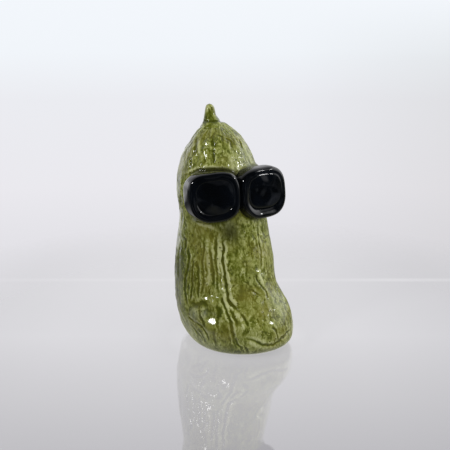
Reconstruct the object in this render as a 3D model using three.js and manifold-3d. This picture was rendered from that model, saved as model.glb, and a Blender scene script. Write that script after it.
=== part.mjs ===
// A small ceramic pickle that stands on its blunt end, with a stem and a pair of sunglasses.
//
// Millimetres and degrees. The figurine stands on z = 0 with the middle of its foot at the origin,
// and the sunglasses face -y. Right and left are the wearer's: the right lens is on the -x side.
import * as THREE from 'three';
import { mergeVertices } from 'three/addons/utils/BufferGeometryUtils.js';
import Module from 'manifold-3d';

const wasm = await Module();
wasm.setup();
const radians = THREE.MathUtils.degToRad;

// Air left between two pieces that touch
const GAP = 0.3;

// The pickle's outside. Each station is a horizontal oval: its height, how far its middle leans
// back from the middle of the foot, its size front to back, and its size side to side. The heel is
// the oval that the sides run down to, before they round off to the smaller foot.
const FOOT = { lean: 0, depth: 29.6, width: 31.6 };
const HEEL = { z: 0, lean: -0.2, depth: 47.2, width: 37.4 };
const BELLY = { z: 12, lean: 2.5, depth: 48.4, width: 40 };
const HIP = { z: 22, lean: 6.5, depth: 43, width: 37.6 };
const WAIST = { z: 34, lean: 7.5, depth: 38.8, width: 36 };
const CHEST = { z: 48, lean: 8.1, depth: 33.2, width: 33.2 };
const BROW = { z: 58, lean: 10.1, depth: 32.8, width: 32.8 };
const POLL = { z: 70, lean: 11.1, depth: 33, width: 33 };
const CROWN = { z: 85.4, lean: 11.6, depth: 33, width: 33 };
// How high the rounded edge of the foot reaches
const FOOT_EDGE = 5;
// The head closes from a little below the brow up to the crown: 0.5 is an oval, and more is sharper
const DOME_BELOW_BROW = 3;
const DOME_POINT = 0.69;
// The plane in which the pickle bends, turned from the way the sunglasses face
const BEND_TURN = 21;

// The cast wall, the solid clay under the stem, and the air hole in the foot
const WALL = 3;
const CROWN_CLAY = 9;
const VENT_RADIUS = 4;
const VENT_TO_FOOT_BACK = 2.8;

// The stem sits in a seat sunk in the crown, a little behind and to the right of its middle
const STEM_SUNK = 3.1;
const STEM_BACK = 1.2;
const STEM_SIDE = -1.8;
const STEM_HEIGHT = 7.6;
const STEM_BASE_RADIUS = 3.2;
const STEM_NECK_RADIUS = 2.3;
const STEM_TIP_RADIUS = 1.65;
const TENON_RADIUS = 1.9;
const TENON_LENGTH = 3;

// The sunglasses: how far the middle of the pair lies above the brow, out from the head and to the
// wearer's left, and how it is turned
const GLASSES_ABOVE_BROW = 1.1;
const GLASSES_STANDOFF = 2.6;
const GLASSES_SIDE = 0.3;
const GLASSES_TILT = 6;
const GLASSES_ROLL = 3.1;
// Each lens is a low dome that lies in a recess of its rim
const LENS = { width: 14.2, height: 12.8, edge: 1.2, dome: 0.8 };
const RECESS_DEPTH = 2;
// Each rim is a rounded block: its band round the lens, its walls, and its back towards the head
const RIM_BAND = 2.2;
const RIM_DEPTH = 6;
const RIM_EDGE = 1.6;
const RIM_DRAFT = 0.2;
const RIM_WRAP = 11;
const RIM_BACK = { depth: 4.5, inset: 4 };
// The bridge fills the space between the rims and laps into both
const RIMS_APART = 1.1;
const BRIDGE = { lap: 3.4, height: 10.4, depth: 6, proud: 0.3 };
// How square the outlines are: 2 is an oval, and more is squarer
const SQUARE_TOP = 3.2;
const SQUARE_BOTTOM = 2.6;

const GREEN_GLAZE = { color: 0x7c8438, roughness: 0.12, metalness: 0 };
const BLACK_GLAZE = { color: 0x0b0d11, roughness: 0.06, metalness: 0 };

// Solids: three.js geometry in, three.js geometry out

function toSolid(geometry) {
  const bare = geometry.clone();
  bare.deleteAttribute('normal');
  bare.deleteAttribute('uv');
  const merged = mergeVertices(bare, 1e-4);
  const vertProperties = new Float32Array(merged.attributes.position.array);
  const triVerts = new Uint32Array(merged.index.array);
  return new wasm.Manifold(new wasm.Mesh({ numProp: 3, vertProperties, triVerts }));
}

function toGeometry(solid) {
  const mesh = solid.getMesh();
  const geometry = new THREE.BufferGeometry();
  geometry.setAttribute('position', new THREE.BufferAttribute(mesh.vertProperties, 3));
  geometry.setIndex(new THREE.BufferAttribute(mesh.triVerts, 1));
  geometry.computeVertexNormals();
  return geometry;
}

function piece(name, geometry, look) {
  const mesh = new THREE.Mesh(geometry, new THREE.MeshStandardMaterial(look));
  mesh.name = name;
  return mesh;
}

// A closed skin over rings of points. The rings follow each other along +z and run anticlockwise.
function loft(rings) {
  const count = rings[0].length;
  const middle = (ring) => ring.reduce((sum, p) => sum.add(p), new THREE.Vector3()).divideScalar(count);
  const points = [...rings.flat(), middle(rings[0]), middle(rings.at(-1))];
  const low = rings.length * count;
  const high = low + 1;
  const last = (rings.length - 1) * count;
  const faces = [];
  for (let j = 0; j < count; j += 1) {
    const k = (j + 1) % count;
    for (let i = 0; i < last; i += count) {
      faces.push(i + j, i + k, i + count + k, i + j, i + count + k, i + count + j);
    }
    faces.push(low, k, j, high, last + j, last + k);
  }
  const geometry = new THREE.BufferGeometry().setFromPoints(points);
  geometry.setIndex(faces);
  return geometry;
}

// Whole steps from 0 to 1
function steps(count) {
  return Array.from({ length: count + 1 }, (_, k) => k / count);
}

// The pickle's body

const stations = [HEEL, BELLY, HIP, WAIST, CHEST, BROW, POLL, CROWN];
const stationCurve = new THREE.CubicInterpolant(
  new Float32Array(stations.map((s) => s.z)),
  new Float32Array(stations.flatMap((s) => [s.lean, s.depth / 2, s.width / 2])),
  3,
);

const domeStart = BROW.z - DOME_BELOW_BROW;

// A skin of the pickle: how far it lies outside the glaze, and between which heights it runs
const OUTSIDE = { grow: 0, floor: 0, top: CROWN.z };
const CAVITY = { grow: -WALL, floor: WALL, top: CROWN.z - CROWN_CLAY };
const CLEAR_OF_BODY = { grow: GAP, floor: 0, top: CROWN.z + GAP };

function section(z, skin) {
  const [lean, halfDepth, halfWidth] = stationCurve.evaluate(z);
  const rise = THREE.MathUtils.clamp((z - domeStart) / (skin.top - domeStart), 0, 1);
  const dome = (1 - rise ** 2) ** DOME_POINT;
  const below = THREE.MathUtils.clamp(1 - (z - skin.floor) / FOOT_EDGE, 0, 1);
  const tuck = 1 - Math.sqrt(1 - below ** 2);
  const mix = THREE.MathUtils.lerp;
  return {
    lean: mix(lean, FOOT.lean, tuck),
    halfDepth: mix((halfDepth + skin.grow) * dome, FOOT.depth / 2 + skin.grow, tuck),
    halfWidth: mix((halfWidth + skin.grow) * dome, FOOT.width / 2 + skin.grow, tuck),
  };
}

function bodySolid(skin, sides) {
  const edgeTop = skin.floor + FOOT_EDGE;
  const quarter = Math.PI / 2;
  const rows = sides / 4;
  const heights = [
    ...steps(5).map((t) => skin.floor + FOOT_EDGE * (1 - Math.cos(t * quarter))),
    ...steps(rows).slice(1).map((t) => edgeTop + t * (domeStart - edgeTop)),
    ...steps(rows).slice(1, -1).map((t) => domeStart + (skin.top - domeStart) * Math.sin(t * quarter)),
  ];
  const rings = heights.map((z) => {
    const { lean, halfDepth, halfWidth } = section(z, skin);
    return steps(sides).slice(1).map((t) => {
      const turn = t * 2 * Math.PI;
      return new THREE.Vector3(halfWidth * Math.cos(turn), lean + halfDepth * Math.sin(turn), z);
    });
  });
  return toSolid(loft(rings).rotateZ(radians(BEND_TURN)));
}

// A point in the plane of the bend, given by its lean, its step to the side and its height
function inBend(lean, side, z) {
  return new THREE.Vector3(side, lean, z).applyAxisAngle(new THREE.Vector3(0, 0, 1), radians(BEND_TURN));
}

// The stem, turned round its own axis, and the seat for it in the crown

const seatHeight = CROWN.z - STEM_SUNK;
const stemFoot = inBend(section(seatHeight, OUTSIDE).lean + STEM_BACK, STEM_SIDE, seatHeight);

function turned(profile, sides) {
  const points = profile.map(([radius, z]) => new THREE.Vector2(radius, z));
  return new THREE.LatheGeometry(points, sides).rotateX(Math.PI / 2);
}

function stemGeometry() {
  const tipStart = STEM_HEIGHT - STEM_TIP_RADIUS;
  const flare = new THREE.SplineCurve([
    new THREE.Vector2(STEM_BASE_RADIUS, 0),
    new THREE.Vector2(STEM_NECK_RADIUS, tipStart / 2),
    new THREE.Vector2(STEM_TIP_RADIUS, tipStart),
  ]);
  const side = flare.getPoints(8).map((p) => [p.x, p.y]);
  const tip = steps(6).slice(1, -1).map((t) => [
    STEM_TIP_RADIUS * Math.cos(t * Math.PI / 2),
    tipStart + STEM_TIP_RADIUS * Math.sin(t * Math.PI / 2),
  ]);
  return turned([
    [0, -TENON_LENGTH],
    [TENON_RADIUS, -TENON_LENGTH],
    [TENON_RADIUS, 0],
    ...side,
    ...tip,
    [0, STEM_HEIGHT],
  ], 20);
}

function stemSeat() {
  const socket = TENON_RADIUS + GAP;
  const floor = -TENON_LENGTH - GAP;
  const rebate = STEM_BASE_RADIUS + GAP;
  const seat = turned([
    [0, floor],
    [socket, floor],
    [socket, -GAP],
    [rebate, -GAP],
    [rebate, STEM_HEIGHT],
    [0, STEM_HEIGHT],
  ], 32);
  return toSolid(seat.translate(stemFoot.x, stemFoot.y, stemFoot.z));
}

function vent() {
  const place = inBend(FOOT.depth / 2 - VENT_TO_FOOT_BACK - VENT_RADIUS, 0, WALL / 2);
  const drill = new THREE.CylinderGeometry(VENT_RADIUS, VENT_RADIUS, WALL * 2, 32).rotateX(Math.PI / 2);
  return toSolid(drill.translate(place.x, place.y, place.z));
}

// The sunglasses, in a frame of their own: x to the wearer's left, y up, z out of the front

const rimWidth = LENS.width + 2 * (GAP + RIM_BAND);
const rimHeight = LENS.height + 2 * (GAP + RIM_BAND);
const rimSpacing = rimWidth + RIMS_APART;
const glassesHeight = BROW.z + GLASSES_ABOVE_BROW;
const head = section(glassesHeight, OUTSIDE);
const headMiddle = inBend(head.lean, 0, glassesHeight);
const glasses = new THREE.Group();
glasses.position.set(
  headMiddle.x + GLASSES_SIDE,
  headMiddle.y - head.halfDepth - GLASSES_STANDOFF,
  glassesHeight,
);
glasses.rotation.set(radians(90 - GLASSES_TILT), 0, radians(GLASSES_ROLL));
glasses.updateMatrixWorld();

const rightEye = new THREE.Group();
const leftEye = new THREE.Group();
for (const [eye, side] of [[rightEye, -1], [leftEye, 1]]) {
  eye.position.x = side * rimSpacing / 2;
  eye.rotation.y = radians(side * RIM_WRAP);
  glasses.add(eye);
  eye.updateMatrixWorld();
}

// A rounded square outline at depth z, squarer at its top than at its bottom
function outline(width, height, z, sides) {
  return steps(sides).slice(1).map((t) => {
    const turn = t * 2 * Math.PI;
    const power = 2 / (Math.sin(turn) > 0 ? SQUARE_TOP : SQUARE_BOTTOM);
    const bend = (v) => Math.sign(v) * Math.abs(v) ** power;
    return new THREE.Vector3(width / 2 * bend(Math.cos(turn)), height / 2 * bend(Math.sin(turn)), z);
  });
}

// Outlines that round off an edge, from the full size at z back to an inset at z + rise
function roundOff(width, height, z, rise, inset, count, sides) {
  return steps(count).slice(1).map((t) => {
    const drawIn = 2 * inset * (1 - Math.cos(t * Math.PI / 2));
    return outline(width - drawIn, height - drawIn, z + rise * Math.sin(t * Math.PI / 2), sides);
  });
}

function rimBlock() {
  const sides = 44;
  const backWidth = rimWidth + 2 * RIM_DRAFT;
  const backHeight = rimHeight + 2 * RIM_DRAFT;
  const back = roundOff(backWidth, backHeight, -RIM_DEPTH, -RIM_BACK.depth, RIM_BACK.inset, 4, sides);
  const front = roundOff(rimWidth, rimHeight, -RIM_EDGE, RIM_EDGE, RIM_EDGE, 5, sides);
  return loft([
    ...back.reverse(),
    outline(backWidth, backHeight, -RIM_DEPTH, sides),
    outline(rimWidth, rimHeight, -RIM_EDGE, sides),
    ...front,
  ]);
}

function recess() {
  const sides = 36;
  const width = LENS.width + 2 * GAP;
  const height = LENS.height + 2 * GAP;
  return loft([
    outline(width, height, -RECESS_DEPTH, sides),
    outline(width, height, RIM_EDGE, sides),
  ]);
}

function bridgeBlock() {
  const sides = 32;
  const width = RIMS_APART + 2 * BRIDGE.lap;
  const shoulder = BRIDGE.proud - RIM_EDGE;
  return loft([
    outline(width, BRIDGE.height, BRIDGE.proud - BRIDGE.depth, sides),
    outline(width, BRIDGE.height, shoulder, sides),
    ...roundOff(width, BRIDGE.height, shoulder, RIM_EDGE, RIM_EDGE, 4, sides),
  ]);
}

function lensGeometry() {
  const sides = 36;
  const back = GAP - RECESS_DEPTH;
  const rim = back + LENS.edge;
  const dome = steps(7).slice(0, -1).map((t) => {
    const turn = t * Math.PI / 2;
    const width = LENS.width * Math.cos(turn);
    const height = LENS.height * Math.cos(turn);
    return outline(width, height, rim + LENS.dome * Math.sin(turn), sides);
  });
  return loft([outline(LENS.width, LENS.height, back, sides), ...dome]);
}

function framePiece() {
  const blocks = [rightEye, leftEye].map((eye) => toSolid(rimBlock().applyMatrix4(eye.matrixWorld)));
  const recesses = [rightEye, leftEye].map((eye) => toSolid(recess().applyMatrix4(eye.matrixWorld)));
  const bridge = toSolid(bridgeBlock().applyMatrix4(glasses.matrixWorld));
  const solid = blocks[0].add(blocks[1]).add(bridge)
    .subtract(bodySolid(CLEAR_OF_BODY, 56))
    .subtract(recesses[0])
    .subtract(recesses[1]);
  return piece('sunglasses_frame', toGeometry(solid), BLACK_GLAZE);
}

function bodyPiece() {
  const solid = bodySolid(OUTSIDE, 56)
    .subtract(bodySolid(CAVITY, 32))
    .subtract(stemSeat())
    .subtract(vent());
  return piece('body_shell', toGeometry(solid), GREEN_GLAZE);
}

const stem = piece('stem', mergeVertices(stemGeometry().deleteAttribute('uv')), GREEN_GLAZE);
stem.position.copy(stemFoot);
rightEye.add(piece('lens_right', lensGeometry(), BLACK_GLAZE));
leftEye.add(piece('lens_left', lensGeometry(), BLACK_GLAZE));

const figurine = new THREE.Group();
figurine.add(bodyPiece(), stem, framePiece(), glasses);

export default figurine;
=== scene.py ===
import math

import bpy
import numpy as np
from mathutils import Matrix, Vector


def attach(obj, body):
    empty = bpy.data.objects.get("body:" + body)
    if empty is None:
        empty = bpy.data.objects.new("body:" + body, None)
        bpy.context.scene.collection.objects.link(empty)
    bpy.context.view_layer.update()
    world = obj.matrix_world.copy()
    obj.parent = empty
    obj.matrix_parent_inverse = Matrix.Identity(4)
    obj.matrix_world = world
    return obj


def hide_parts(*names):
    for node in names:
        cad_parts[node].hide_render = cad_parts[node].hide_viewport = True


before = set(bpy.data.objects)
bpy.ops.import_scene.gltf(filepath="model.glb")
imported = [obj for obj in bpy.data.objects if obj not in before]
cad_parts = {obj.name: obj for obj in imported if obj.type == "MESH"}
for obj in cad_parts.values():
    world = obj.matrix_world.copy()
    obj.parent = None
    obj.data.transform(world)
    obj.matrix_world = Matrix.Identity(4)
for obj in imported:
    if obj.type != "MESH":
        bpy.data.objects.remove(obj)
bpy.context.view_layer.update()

scene = bpy.context.scene
MM = 0.001

# The photograph's camera: size and focal length in pixels, place in mm, turn to the object's
# right, dip, and width of the sensor in mm
PHOTO_SIZE, PHOTO_FOCAL = 450, 700
CAMERA_PLACE = np.array((-108.3, -231.2, 113.64))
CAMERA_TURN, CAMERA_DIP = math.radians(24), math.radians(15)
SENSOR = 36

# The pickle's outside, as in the CAD: horizontal ovals, each (height, lean, depth, width)
STATIONS = (
    (0, -0.2, 47.2, 37.4),
    (12, 2.5, 48.4, 40),
    (22, 6.5, 43, 37.6),
    (34, 7.5, 38.8, 36),
    (48, 8.1, 33.2, 33.2),
    (58, 10.1, 32.8, 32.8),
    (70, 11.1, 33, 33),
    (85.4, 11.6, 33, 33),
)
FOOT_DEPTH, FOOT_WIDTH, FOOT_EDGE = 29.6, 31.6, 5
DOME_START, DOME_POINT = 55, 0.69
CROWN = STATIONS[-1][0]
BEND_TURN = math.radians(21)
WALL = 3
CAVITY_TOP = CROWN - 9
VENT_RADIUS, VENT_LEAN = 4, 8

# The stem
STEM_SEAT, STEM_LEAN, STEM_SIDE = 82.3, 12.8, -1.8

# The sunglasses
GLASSES_HEIGHT = 59.1
GLASSES_SIDE, GLASSES_STANDOFF = 0.3, 2.6
GLASSES_TILT, GLASSES_ROLL, RIM_WRAP = 6, 3.1, 11
RIM_WIDTH, RIM_HEIGHT, RIM_SPACING = 19.2, 17.8, 20.3
# The wearer's right rim is -1 and the left one is 1. Each front has its own size, a share by which
# its outer lower corner is drawn in, and its own move from the CAD's place.
EYE_RIGHT, EYE_LEFT = -1, 1
RIM_SIZE = {EYE_RIGHT: (19, 17.9), EYE_LEFT: (20.1, 18.5)}
RIM_TAPER = {EYE_RIGHT: 0.13, EYE_LEFT: 0}
RIM_SHIFT = {EYE_RIGHT: (0.4, 0.15), EYE_LEFT: (0.1, -0.75)}
# The rims widen towards the head by this share of their width for each mm
RIM_DRAFT = 0.011
# How square the rounded squares are above and below their middle
SQUARE_TOP, SQUARE_BOTTOM = 3.2, 2.6


# Noise, worked out on whole arrays of points

def noise_table(seed):
    source = np.random.RandomState(seed)
    order = source.permutation(256)
    ways = source.normal(size=(256, 3))
    return order, ways / np.linalg.norm(ways, axis=1)[:, None]


def noise(points, seed):
    """Smooth noise of about -1 to 1 at each point, with features one unit apart."""
    order, ways = noise_table(seed)
    cell = np.floor(points).astype(int)
    inside = points - cell
    fade = inside ** 3 * (inside * (inside * 6 - 15) + 10)
    total = np.zeros(points.shape[:-1])
    for corner in np.ndindex(2, 2, 2):
        at = (cell + corner) & 255
        way = ways[order[(order[(order[at[..., 0]] + at[..., 1]) & 255] + at[..., 2]) & 255]]
        share = np.prod(np.where(corner, fade, 1 - fade), axis=-1)
        total += share * np.sum(way * (inside - corner), axis=-1)
    return total * 1.6


def ease(value, low, high):
    """0 up to low, 1 from high on, with a smooth step between."""
    t = np.clip((value - low) / (high - low), 0, 1)
    return t * t * (3 - 2 * t)


def length(vectors):
    return np.linalg.norm(vectors, axis=-1)


def lengths_along(points):
    """How far along its path each point lies."""
    return np.append(0, np.cumsum(length(np.diff(points, axis=0))))


def evenly(points, count, closed=False):
    """Points evenly spaced along a path in the plane."""
    lengths = lengths_along(points)
    s = np.arange(count) * lengths[-1] / (count if closed else count - 1)
    return np.stack([np.interp(s, lengths, points[:, k]) for k in (0, 1)], -1)


# The body's smooth form

def stations_at(z):
    """(lean, half depth, half width) at each height, on the same cubic as the CAD's."""
    knots, lean, depth, width = np.array(STATIONS).T
    values = np.stack([lean, depth / 2, width / 2], -1)
    i = np.clip(np.searchsorted(knots, z, side="right"), 1, len(knots) - 1)
    before = np.where(i > 1, i - 2, i)
    after = np.where(i < len(knots) - 1, np.minimum(i + 1, len(knots) - 1), i - 1)
    start, end = knots[i - 1], knots[i]
    p = (z - start) / (end - start)
    weight_before = (end - start) / 2 / (start - knots[before])
    weight_after = (end - start) / 2 / (knots[after] - end)
    p2, p3 = p ** 2, p ** 3
    shares = (
        (before, weight_before * (2 * p2 - p3 - p)),
        (i - 1, (1 + weight_before) * p3 - (1.5 + 2 * weight_before) * p2
            + (weight_before - 0.5) * p + 1),
        (i, (1.5 + weight_after) * p2 - (1 + weight_after) * p3 + 0.5 * p),
        (after, weight_after * (p3 - p2)),
    )
    return sum(values[at] * share[:, None] for at, share in shares)


def section(z, grow=0, floor=0, top=CROWN):
    """The same with the dome and the rounded edge of the foot, or of a skin inside it."""
    z = np.atleast_1d(np.asarray(z, float))
    lean, half_depth, half_width = stations_at(z).T
    rise = np.clip((z - DOME_START) / (top - DOME_START), 0, 1)
    dome = (1 - rise ** 2) ** DOME_POINT
    below = np.clip(1 - (z - floor) / FOOT_EDGE, 0, 1)
    tuck = 1 - np.sqrt(1 - below ** 2)
    return (
        lean * (1 - tuck),
        (half_depth + grow) * dome * (1 - tuck) + (FOOT_DEPTH / 2 + grow) * tuck,
        (half_width + grow) * dome * (1 - tuck) + (FOOT_WIDTH / 2 + grow) * tuck,
    )


def turned(points, angle):
    c, s = math.cos(angle), math.sin(angle)
    x, y, z = np.moveaxis(points, -1, 0)
    return np.stack([c * x - s * y, s * x + c * y, z], -1)


def even_heights(low, high, count, **skin):
    """Heights from high down to low, evenly spaced along the skin."""
    t = np.linspace(0, math.pi, 4000)
    z = high + (low - high) * (1 - np.cos(t)) / 2
    _, half_depth, half_width = section(z, **skin)
    along = lengths_along(np.stack([(half_depth + half_width) / 2, z], -1))
    return np.interp(np.linspace(0, along[-1], count), along, z)


AROUND, OUTER_ROWS, CAVITY_ROWS = 440, 204, 13
angles = np.arange(AROUND) * 2 * math.pi / AROUND


def ovals(z, **skin):
    lean, half_depth, half_width = section(z, **skin)
    return np.stack([
        half_width[:, None] * np.cos(angles),
        lean[:, None] + half_depth[:, None] * np.sin(angles),
        np.repeat(np.atleast_1d(z)[:, None], AROUND, 1),
    ], -1)


# Rings over the outside, the foot, the wall of the vent and the hollow
FOOT_SHARES, VENT_HEIGHTS = (0.12, 0.4, 0.7, 0.93), (0.25, 1, 2, WALL - 0.2)
outer = ovals(even_heights(0, CROWN - 0.002, OUTER_ROWS))
foot_ring = outer[-1]
vent_ring = np.stack([
    VENT_RADIUS * np.cos(angles), VENT_LEAN + VENT_RADIUS * np.sin(angles), 0 * angles,
], -1)
foot_rows = [foot_ring + (vent_ring - foot_ring) * t for t in FOOT_SHARES]
vent_rows = [vent_ring + (0, 0, z) for z in VENT_HEIGHTS]
hollow = dict(grow=-WALL, floor=WALL, top=CAVITY_TOP)
inner = ovals(even_heights(WALL + 0.6, CAVITY_TOP - 0.01, CAVITY_ROWS, **hollow)[::-1], **hollow)
grid = turned(np.concatenate([outer, foot_rows, vent_rows, inner]), BEND_TURN)


def grid_normals(points):
    along = np.gradient(points, axis=0)
    around = (np.roll(points, -1, axis=1) - np.roll(points, 1, axis=1)) / 2
    normal = np.cross(along, around)
    return normal / np.maximum(length(normal), 1e-9)[..., None]


skin = grid[:OUTER_ROWS].copy()
normals = grid_normals(skin)
normals[0] = (0, 0, 1)


# The photograph's view of the body

ahead = np.array([math.sin(CAMERA_TURN), math.cos(CAMERA_TURN), 0])
look = ahead * math.cos(CAMERA_DIP) - (0, 0, math.sin(CAMERA_DIP))
right = np.array([math.cos(CAMERA_TURN), -math.sin(CAMERA_TURN), 0])
up = np.cross(right, look)


def to_photo(points):
    ray = points - CAMERA_PLACE
    depth = (ray @ look)[..., None]
    return PHOTO_SIZE / 2 + PHOTO_FOCAL * np.stack([ray @ right, -(ray @ up)], -1) / depth


skin_pixels = to_photo(skin)
to_camera = CAMERA_PLACE - skin
facing = np.sum(normals * to_camera, -1) / length(to_camera)


def on_skin(pixels):
    """The points of the skin that the photograph shows at these pixels."""
    found = []
    for pixel in pixels:
        miss = length(skin_pixels - pixel)
        miss[facing <= 0] = 1e6
        found.append(skin.reshape(-1, 3)[np.argmin(miss)])
    return np.array(found)


def distance_to_path(points, path):
    """How far each point is from a path, and how far along the path its nearest point lies."""
    nearest = np.full(points.shape[:-1], 1e6)
    share = np.zeros(points.shape[:-1])
    reached = lengths_along(path)
    total = max(reached[-1], 1e-9)
    for a, b, done, onward in zip(path[:-1], path[1:], reached, np.diff(reached)):
        step = b - a
        t = np.clip(((points - a) @ step) / max(step @ step, 1e-9), 0, 1)
        gap = length(points - a - t[..., None] * step)
        closer = gap < nearest
        nearest = np.where(closer, gap, nearest)
        share = np.where(closer, (done + t * onward) / total, share)
    return nearest, share


# Wrinkles of the photograph, each a path over the front in pixels of the photograph, with its
# width in mm and its height in mm, which is negative for a groove
MAIN_GROOVE = (
    (222.6, 238), (223, 248), (223.2, 256), (223.4, 264), (223.8, 270.3), (225.1, 277.5),
    (226.5, 284.6), (226.9, 291), (227.6, 297), (229, 301), (231.8, 305.5), (235, 308.3),
    (239, 311),
)
MAIN_RIDGE_LEFT = (
    (216, 231.5), (219.4, 233.2), (221, 242.7), (220.8, 254.5), (221.2, 266.4), (222.6, 278.2),
    (224, 288.5), (224.2, 298), (226, 303), (229, 310), (232.5, 317), (234, 325), (234.6, 333),
    (236, 341),
)
MAIN_RIDGE_RIGHT = (
    (224.8, 238.7), (226.3, 254.5), (226.6, 270.3), (228.9, 280), (230, 288), (231, 296),
    (232.5, 301), (236.5, 305), (240.5, 309.5),
)
LOWER_GROOVE = (
    (220.3, 295.3), (223.4, 303.2), (226.4, 311.1), (229.4, 318.2), (231.2, 324.5),
    (232.6, 334), (234, 341.9), (236.5, 347.4),
)
SMILE_CREASE = (
    (245.6, 338), (251.9, 339.5), (257.4, 341.6), (262.2, 343.6), (266.9, 344.7),
    (273.2, 344.4), (278, 342), (282.7, 337.2), (286.7, 332.4), (291, 327.7),
)
BROW_RIDGE = (
    (184.5, 174.5), (190, 171.2), (197, 168.2), (205, 167), (215, 166.8), (225, 168.2),
    (232, 171.5), (236.5, 176), (239, 179.5),
)
BROW_LINE = (
    (188, 174.2), (196, 171.6), (205, 170.6), (215, 170.4), (224, 171.6), (230, 173.6),
)
WRINKLES = (
    (MAIN_GROOVE, 0.65, -1),
    (MAIN_RIDGE_LEFT, 0.6, 0.42),
    (MAIN_RIDGE_RIGHT, 0.65, 0.45),
    (LOWER_GROOVE, 0.7, -0.5),
    (((215.5, 235), (216.3, 242.7), (215.5, 250.6), (215.1, 260), (216, 270), (217, 280),
      (217.5, 290)), 0.7, -0.45),
    (((218.3, 236), (218.6, 247), (218, 258), (218.4, 270), (219.4, 281), (219.6, 291)), 0.8, 0.25),
    (((209.6, 247), (210.7, 260), (212.3, 270.3), (213.1, 277), (212, 288)), 0.7, -0.45),
    (((207, 240), (207.2, 252), (208.4, 264), (208.6, 276), (206, 288)), 0.9, 0.25),
    (((203.5, 236), (203.3, 250), (202.6, 262), (203.5, 274), (203, 286), (201, 296)), 0.6, -0.3),
    (((197.2, 262), (198.1, 270.3), (198.6, 280.6), (198.1, 290.9), (197.3, 300)), 0.7, -0.45),
    (((193.2, 260), (192.6, 270.3), (191.8, 282.2), (191.4, 294), (190.2, 302)), 0.7, -0.5),
    (((192.5, 280.4), (196, 280), (199.7, 280.4)), 0.5, -0.3),
    (((187.5, 246), (189, 255.3), (188.2, 264), (186, 276), (185, 290), (187, 304)), 0.8, -0.4),
    (((183.5, 236), (186.2, 240.5), (185, 250)), 0.7, -0.35),
    (((230.5, 311), (234.5, 319), (237, 324.5)), 0.8, -0.45),
    (((188.5, 316.5), (191, 320), (193.8, 320.8), (196.4, 324)), 0.6, -0.5),
    (((199.6, 309), (200.6, 315), (202.6, 321), (206, 327)), 0.6, -0.5),
    (((193, 303), (197, 306), (202, 303.6), (208, 305)), 1.5, -0.3),
    (((219, 308), (220.4, 313), (219.4, 318)), 1.1, -0.4),
    (((236.4, 311.5), (240.5, 318), (243, 325), (243.4, 331)), 1, 0.25),
    (((241.5, 313), (244, 316.6), (247.1, 323), (248.3, 326)), 0.6, -0.4),
    (((257.4, 229), (259, 240), (261.3, 250.6), (261.5, 260), (260.5, 268.8)), 0.55, -0.4),
    (((262.5, 250), (263.3, 262), (262.5, 272)), 0.8, 0.2),
    (((255.8, 274), (257.2, 281), (261.3, 286.1), (265.3, 291.7), (266.9, 299.2)), 0.6, -0.4),
    (((259.3, 268), (259.5, 276), (263, 284)), 0.9, 0.35),
    (((247.9, 291.9), (251, 289.7), (255.8, 293.3), (258.4, 295.6)), 0.5, -0.35),
    (((197, 222.5), (203, 225.6), (210, 227.6), (216, 229)), 0.8, 0.35),
    (SMILE_CREASE, 0.6, -0.7),
    (((249, 336.5), (256, 338.2), (263, 340.6), (270, 341.2), (276, 338)), 0.9, 0.15),
    (((247, 342.5), (254, 344.3), (261, 347.3), (268, 348.5), (277, 346)), 0.9, 0.15),
    (((272.4, 327.3), (275.6, 329.6), (276.8, 334.6), (277.6, 339.5)), 0.55, -0.4),
    (((195, 320.6), (199, 324), (202.9, 327.7), (206.6, 333), (209, 340)), 0.7, -0.4),
    (((190.5, 325), (195, 331), (200, 337), (206, 342.5)), 0.8, -0.3),
    (((198.9, 330), (202.5, 337), (205, 341)), 0.6, -0.3),
    (((213, 329.3), (214.5, 336.5), (216, 344)), 0.7, -0.25),
    (((234.5, 336.6), (236.4, 344), (240.6, 346.7), (243.2, 351.6)), 0.55, -0.35),
    (((244.8, 346.6), (247, 350), (248, 352.4)), 0.5, -0.3),
    (((213.3, 150), (213.7, 156), (213.9, 162.5)), 0.6, -0.35),
    (((212.5, 138), (213.5, 143.8), (217, 145.4)), 1, -0.3),
    (((202.6, 142), (202.8, 148), (202.4, 154)), 0.7, -0.25),
    (((196.6, 136), (195.8, 143), (195.6, 150), (193.4, 154)), 0.9, -0.4),
    (((199.6, 137), (199.2, 146), (199.8, 155)), 0.9, 0.3),
    (((190.2, 158), (190.6, 163), (190.3, 168)), 0.7, -0.45),
    (((217, 132.3), (220.8, 134.2), (223, 139)), 0.6, -0.35),
    (((224.5, 137), (227.5, 138), (231, 141.5), (231.6, 147)), 0.6, -0.35),
    (((238.5, 137.5), (241, 143), (242.4, 148)), 0.6, -0.3),
    (((219.2, 152.5), (220.4, 154), (221.6, 153)), 0.6, -0.35),
    (BROW_RIDGE, 0.6, 0.35),
    (BROW_LINE, 0.4, -0.5),
)

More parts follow.
